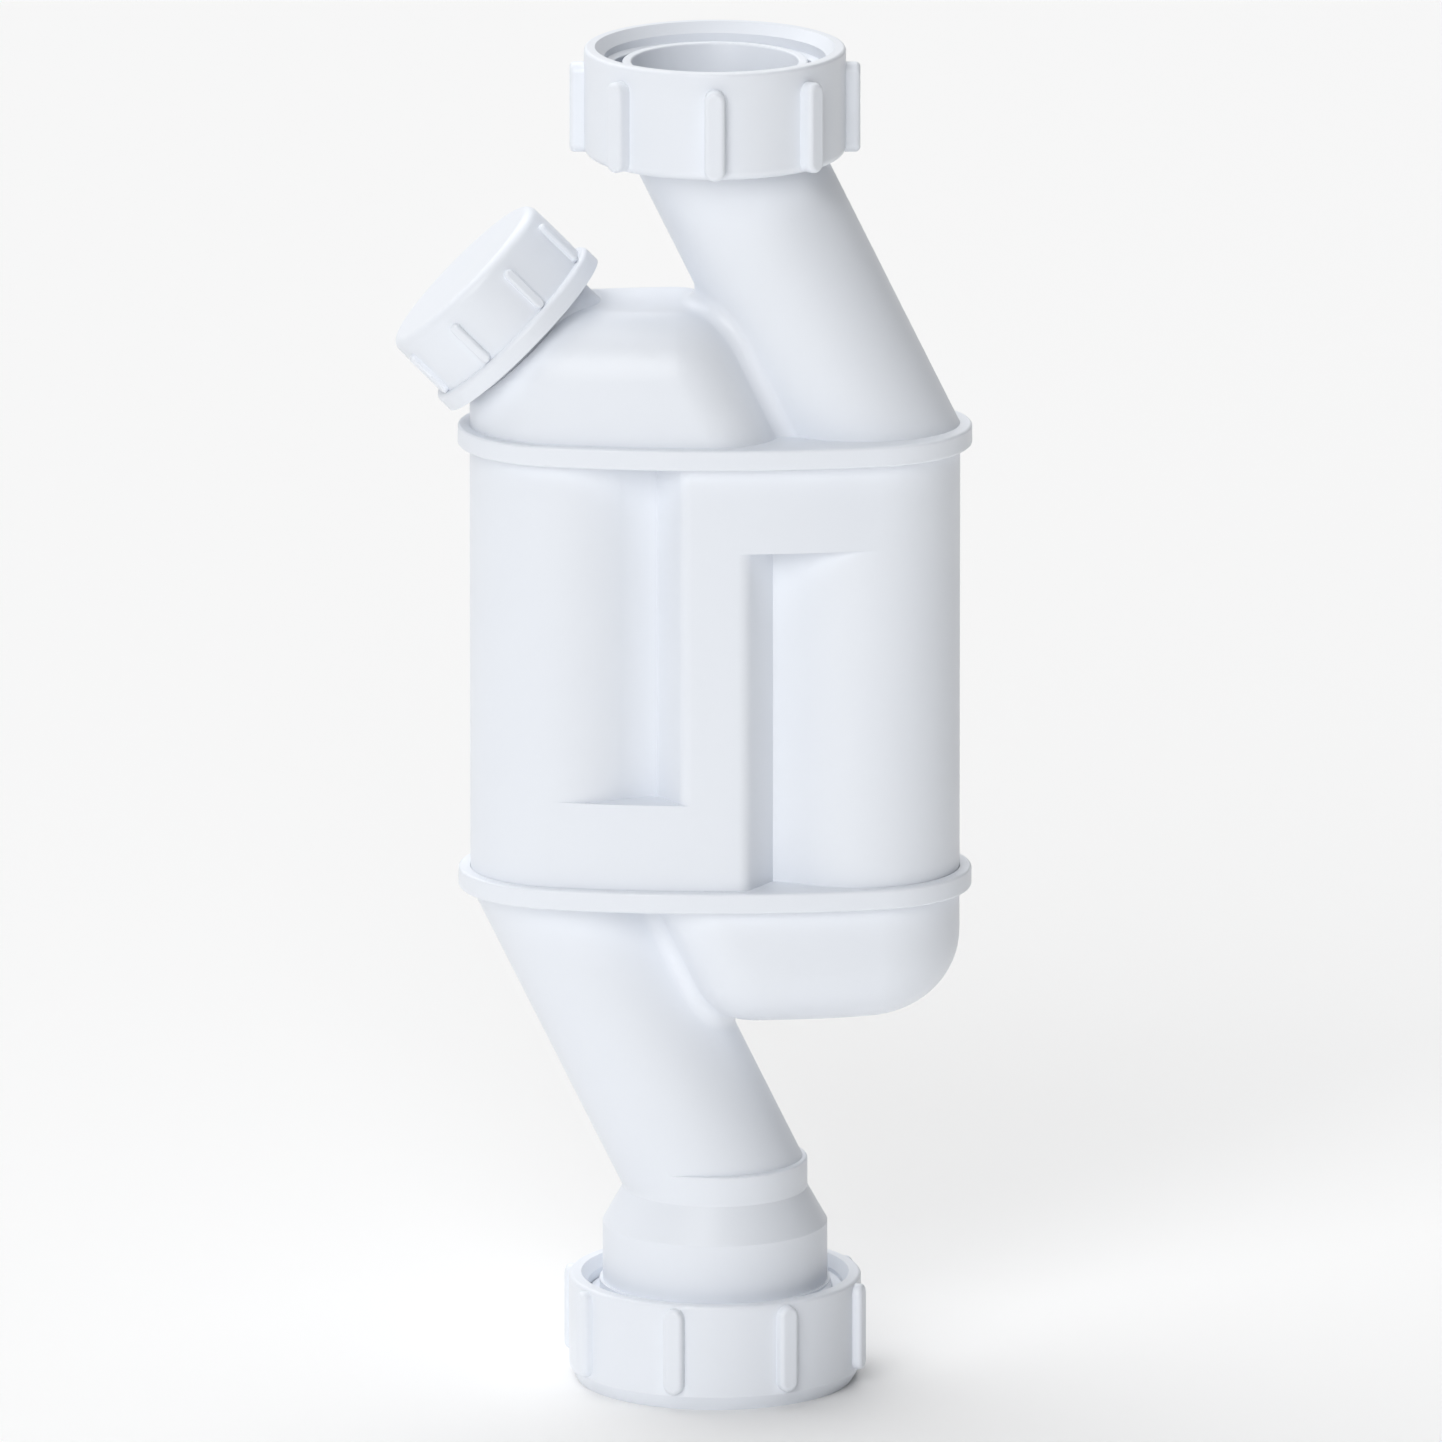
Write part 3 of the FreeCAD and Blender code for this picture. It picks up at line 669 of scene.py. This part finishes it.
@dataclass
class CleaningEye:
    """Screw cap and flat seal of the cleaning eye, with the threads of cap and neck."""

    neck_root: float = 17.25
    neck_crest: float = 18.6
    cap_root: float = 19.2
    cap_crest: float = 17.85
    root_width: float = 1.5
    crest_width: float = 0.7
    cap_foot: float = 5.1
    turns: float = 2.35

    def build(self, frame: Frame, finishes: Finishes) -> list[bpy.types.Object]:
        """Build the cap, the seal and the two threads, half a pitch apart.

        Args:
            frame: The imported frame.
            finishes: The shared materials.

        Returns:
            The new pieces.
        """
        pitch = frame.pitches["eye_cap_turn"] / MM
        axis = frame.axis("eye_cap_turn")
        cap = Moulding("eye_cap", "eye_cap", Slot.PLASTIC).build(frame, finishes)
        seal = Moulding("eye_seal", "eye_packing", Slot.RUBBER).build(frame, finishes)
        neck_ridge = ScrewThread(
            name="eye_neck_thread",
            body="trap",
            root_radius=self.neck_root,
            crest_radius=self.neck_crest,
            root_width=self.root_width,
            crest_width=self.crest_width,
            foot=self.cap_foot + pitch / 2,
            turns=self.turns,
            pitch=pitch,
        )
        cap_ridge = ScrewThread(
            name="eye_cap_thread",
            body="eye_cap",
            root_radius=self.cap_root,
            crest_radius=self.cap_crest,
            root_width=self.root_width,
            crest_width=self.crest_width,
            foot=self.cap_foot,
            turns=self.turns,
            pitch=pitch,
        )
        ridges = [ridge.build(axis, finishes) for ridge in (neck_ridge, cap_ridge)]
        return [cap, seal, *ridges]


@dataclass(frozen=True)
class SoftLight:
    """One wide soft light, so far off that the floor is lit evenly.

    Azimuth is its side in degrees from the front, less than none to the left, elevation its
    height over the floor, and spread how wide it looks from the object. Strength is its power
    on a surface that faces it, in watts for each square metre.
    """

    name: str
    azimuth: float
    elevation: float
    spread: float
    strength: float

    def hang(self) -> None:
        """Add the light to the scene."""
        lamp = bpy.data.lights.new(self.name, "SUN")
        lamp.energy = self.strength
        lamp.angle = math.radians(self.spread)
        side = math.radians(self.azimuth)
        rise = math.radians(self.elevation)
        level = math.cos(rise)
        towards = Vector((level * math.sin(side), -level * math.cos(side), math.sin(rise)))
        holder = bpy.data.objects.new(self.name, lamp)
        holder.rotation_euler = (-towards).to_track_quat("-Z", "Y").to_euler()
        holder.location = towards
        bpy.context.scene.collection.objects.link(holder)


@dataclass
class Studio:
    """Plain pale floor, soft lights and the camera at the photograph's angle."""

    image_width: int = 1442
    mm_per_pixel: float = 0.2173
    axis_pixel_x: float = 715.0
    floor_pixel_y: float = 1378.5
    elevation: float = 13.4
    lens: float = 800.0
    sensor: float = 36.0
    far_share: float = 4.0
    floor_colour: str = "#F8F8F8"
    floor_half: float = 6.0
    floor_parts: int = 8
    floor_roughness: float = 0.9
    surround_colour: str = "#FFFFFF"
    surround_turn: float = 20.0
    surround_dim: float = 0.1
    surround_full: float = 0.95
    surround_front: float = 0.02
    surround_back: float = 0.68
    key: SoftLight = SoftLight("key", -15.0, 25.0, 42.0, 1.7)
    overhead: SoftLight = SoftLight("overhead", -148.0, 64.0, 80.0, 2.15)

    def build(self) -> None:
        """Set the stage, the lights and the camera."""
        self.floor()
        self.world()
        self.key.hang()
        self.overhead.hang()
        self.camera()

    def floor(self) -> None:
        """Lay the pale floor, wide enough to fill the view."""
        shape = bmesh.new()
        parts = self.floor_parts
        bmesh.ops.create_grid(shape, x_segments=parts, y_segments=parts, size=self.floor_half)
        floor = new_piece("studio_floor", shape)
        made = bpy.data.materials.new("studio_paper")
        made.use_nodes = True
        shader = made.node_tree.nodes["Principled BSDF"]
        shader.inputs["Base Color"].default_value = linear(self.floor_colour)
        shader.inputs["Roughness"].default_value = self.floor_roughness
        floor.data.materials.append(made)

    def world(self) -> None:
        """Give the studio its surround: pale behind the object, near black at sides and front."""
        world = bpy.data.worlds.new("studio_surround")
        world.use_nodes = True
        tree = world.node_tree
        tree.nodes.clear()
        towards = add_node(tree, "ShaderNodeTexCoord").outputs["Generated"]
        turned = math.radians(self.surround_turn)
        behind = add_node(tree, "ShaderNodeVectorMath", {0: towards}, operation="DOT_PRODUCT")
        behind.inputs[1].default_value = (-math.sin(turned), math.cos(turned), 0.0)
        strength = add_node(
            tree,
            "ShaderNodeMapRange",
            {"Value": behind.outputs["Value"]},
            interpolation_type="SMOOTHSTEP",
            sockets={
                "From Min": self.surround_dim,
                "From Max": self.surround_full,
                "To Min": self.surround_front,
                "To Max": self.surround_back,
            },
        )
        glow = add_node(
            tree,
            "ShaderNodeBackground",
            {"Strength": strength.outputs["Result"]},
            sockets={"Color": linear(self.surround_colour)},
        )
        add_node(tree, "ShaderNodeOutputWorld", {"Surface": glow.outputs["Background"]})
        bpy.context.scene.world = world
        bpy.context.scene.view_settings.view_transform = "Standard"

    def camera(self) -> None:
        """Place a long lens so that its frame is the photograph's."""
        tilt = math.radians(self.elevation)
        centre = self.image_width / 2
        width = self.image_width * self.mm_per_pixel * MM
        target = Vector(
            (
                (centre - self.axis_pixel_x) * self.mm_per_pixel * MM,
                0.0,
                (self.floor_pixel_y - centre) * self.mm_per_pixel * MM / math.cos(tilt),
            )
        )
        distance = width * self.lens / self.sensor
        view = bpy.data.cameras.new("photograph_view")
        view.lens = self.lens
        view.sensor_width = self.sensor
        view.clip_end = self.far_share * distance
        holder = bpy.data.objects.new("photograph_view", view)
        holder.location = target + distance * Vector((0.0, -math.cos(tilt), math.sin(tilt)))
        holder.rotation_euler = (math.pi / 2 - tilt, 0.0, 0.0)
        bpy.context.scene.collection.objects.link(holder)
        bpy.context.scene.camera = holder


def main() -> None:
    """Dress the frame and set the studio."""
    logging.basicConfig(level=logging.INFO, format="%(name)s: %(message)s")
    frame = Frame.load()
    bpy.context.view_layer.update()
    finishes = Finishes.make()
    for assembly in (TrapShell(), InletUnion(), CompressionOutlet(), CleaningEye()):
        for piece in assembly.build(frame, finishes):
            faces = len(piece.data.polygons)
            log.info("%s: %s, %d faces", type(assembly).__name__, piece.name, faces)
    Studio().build()


if __name__ == "__main__":
    main()
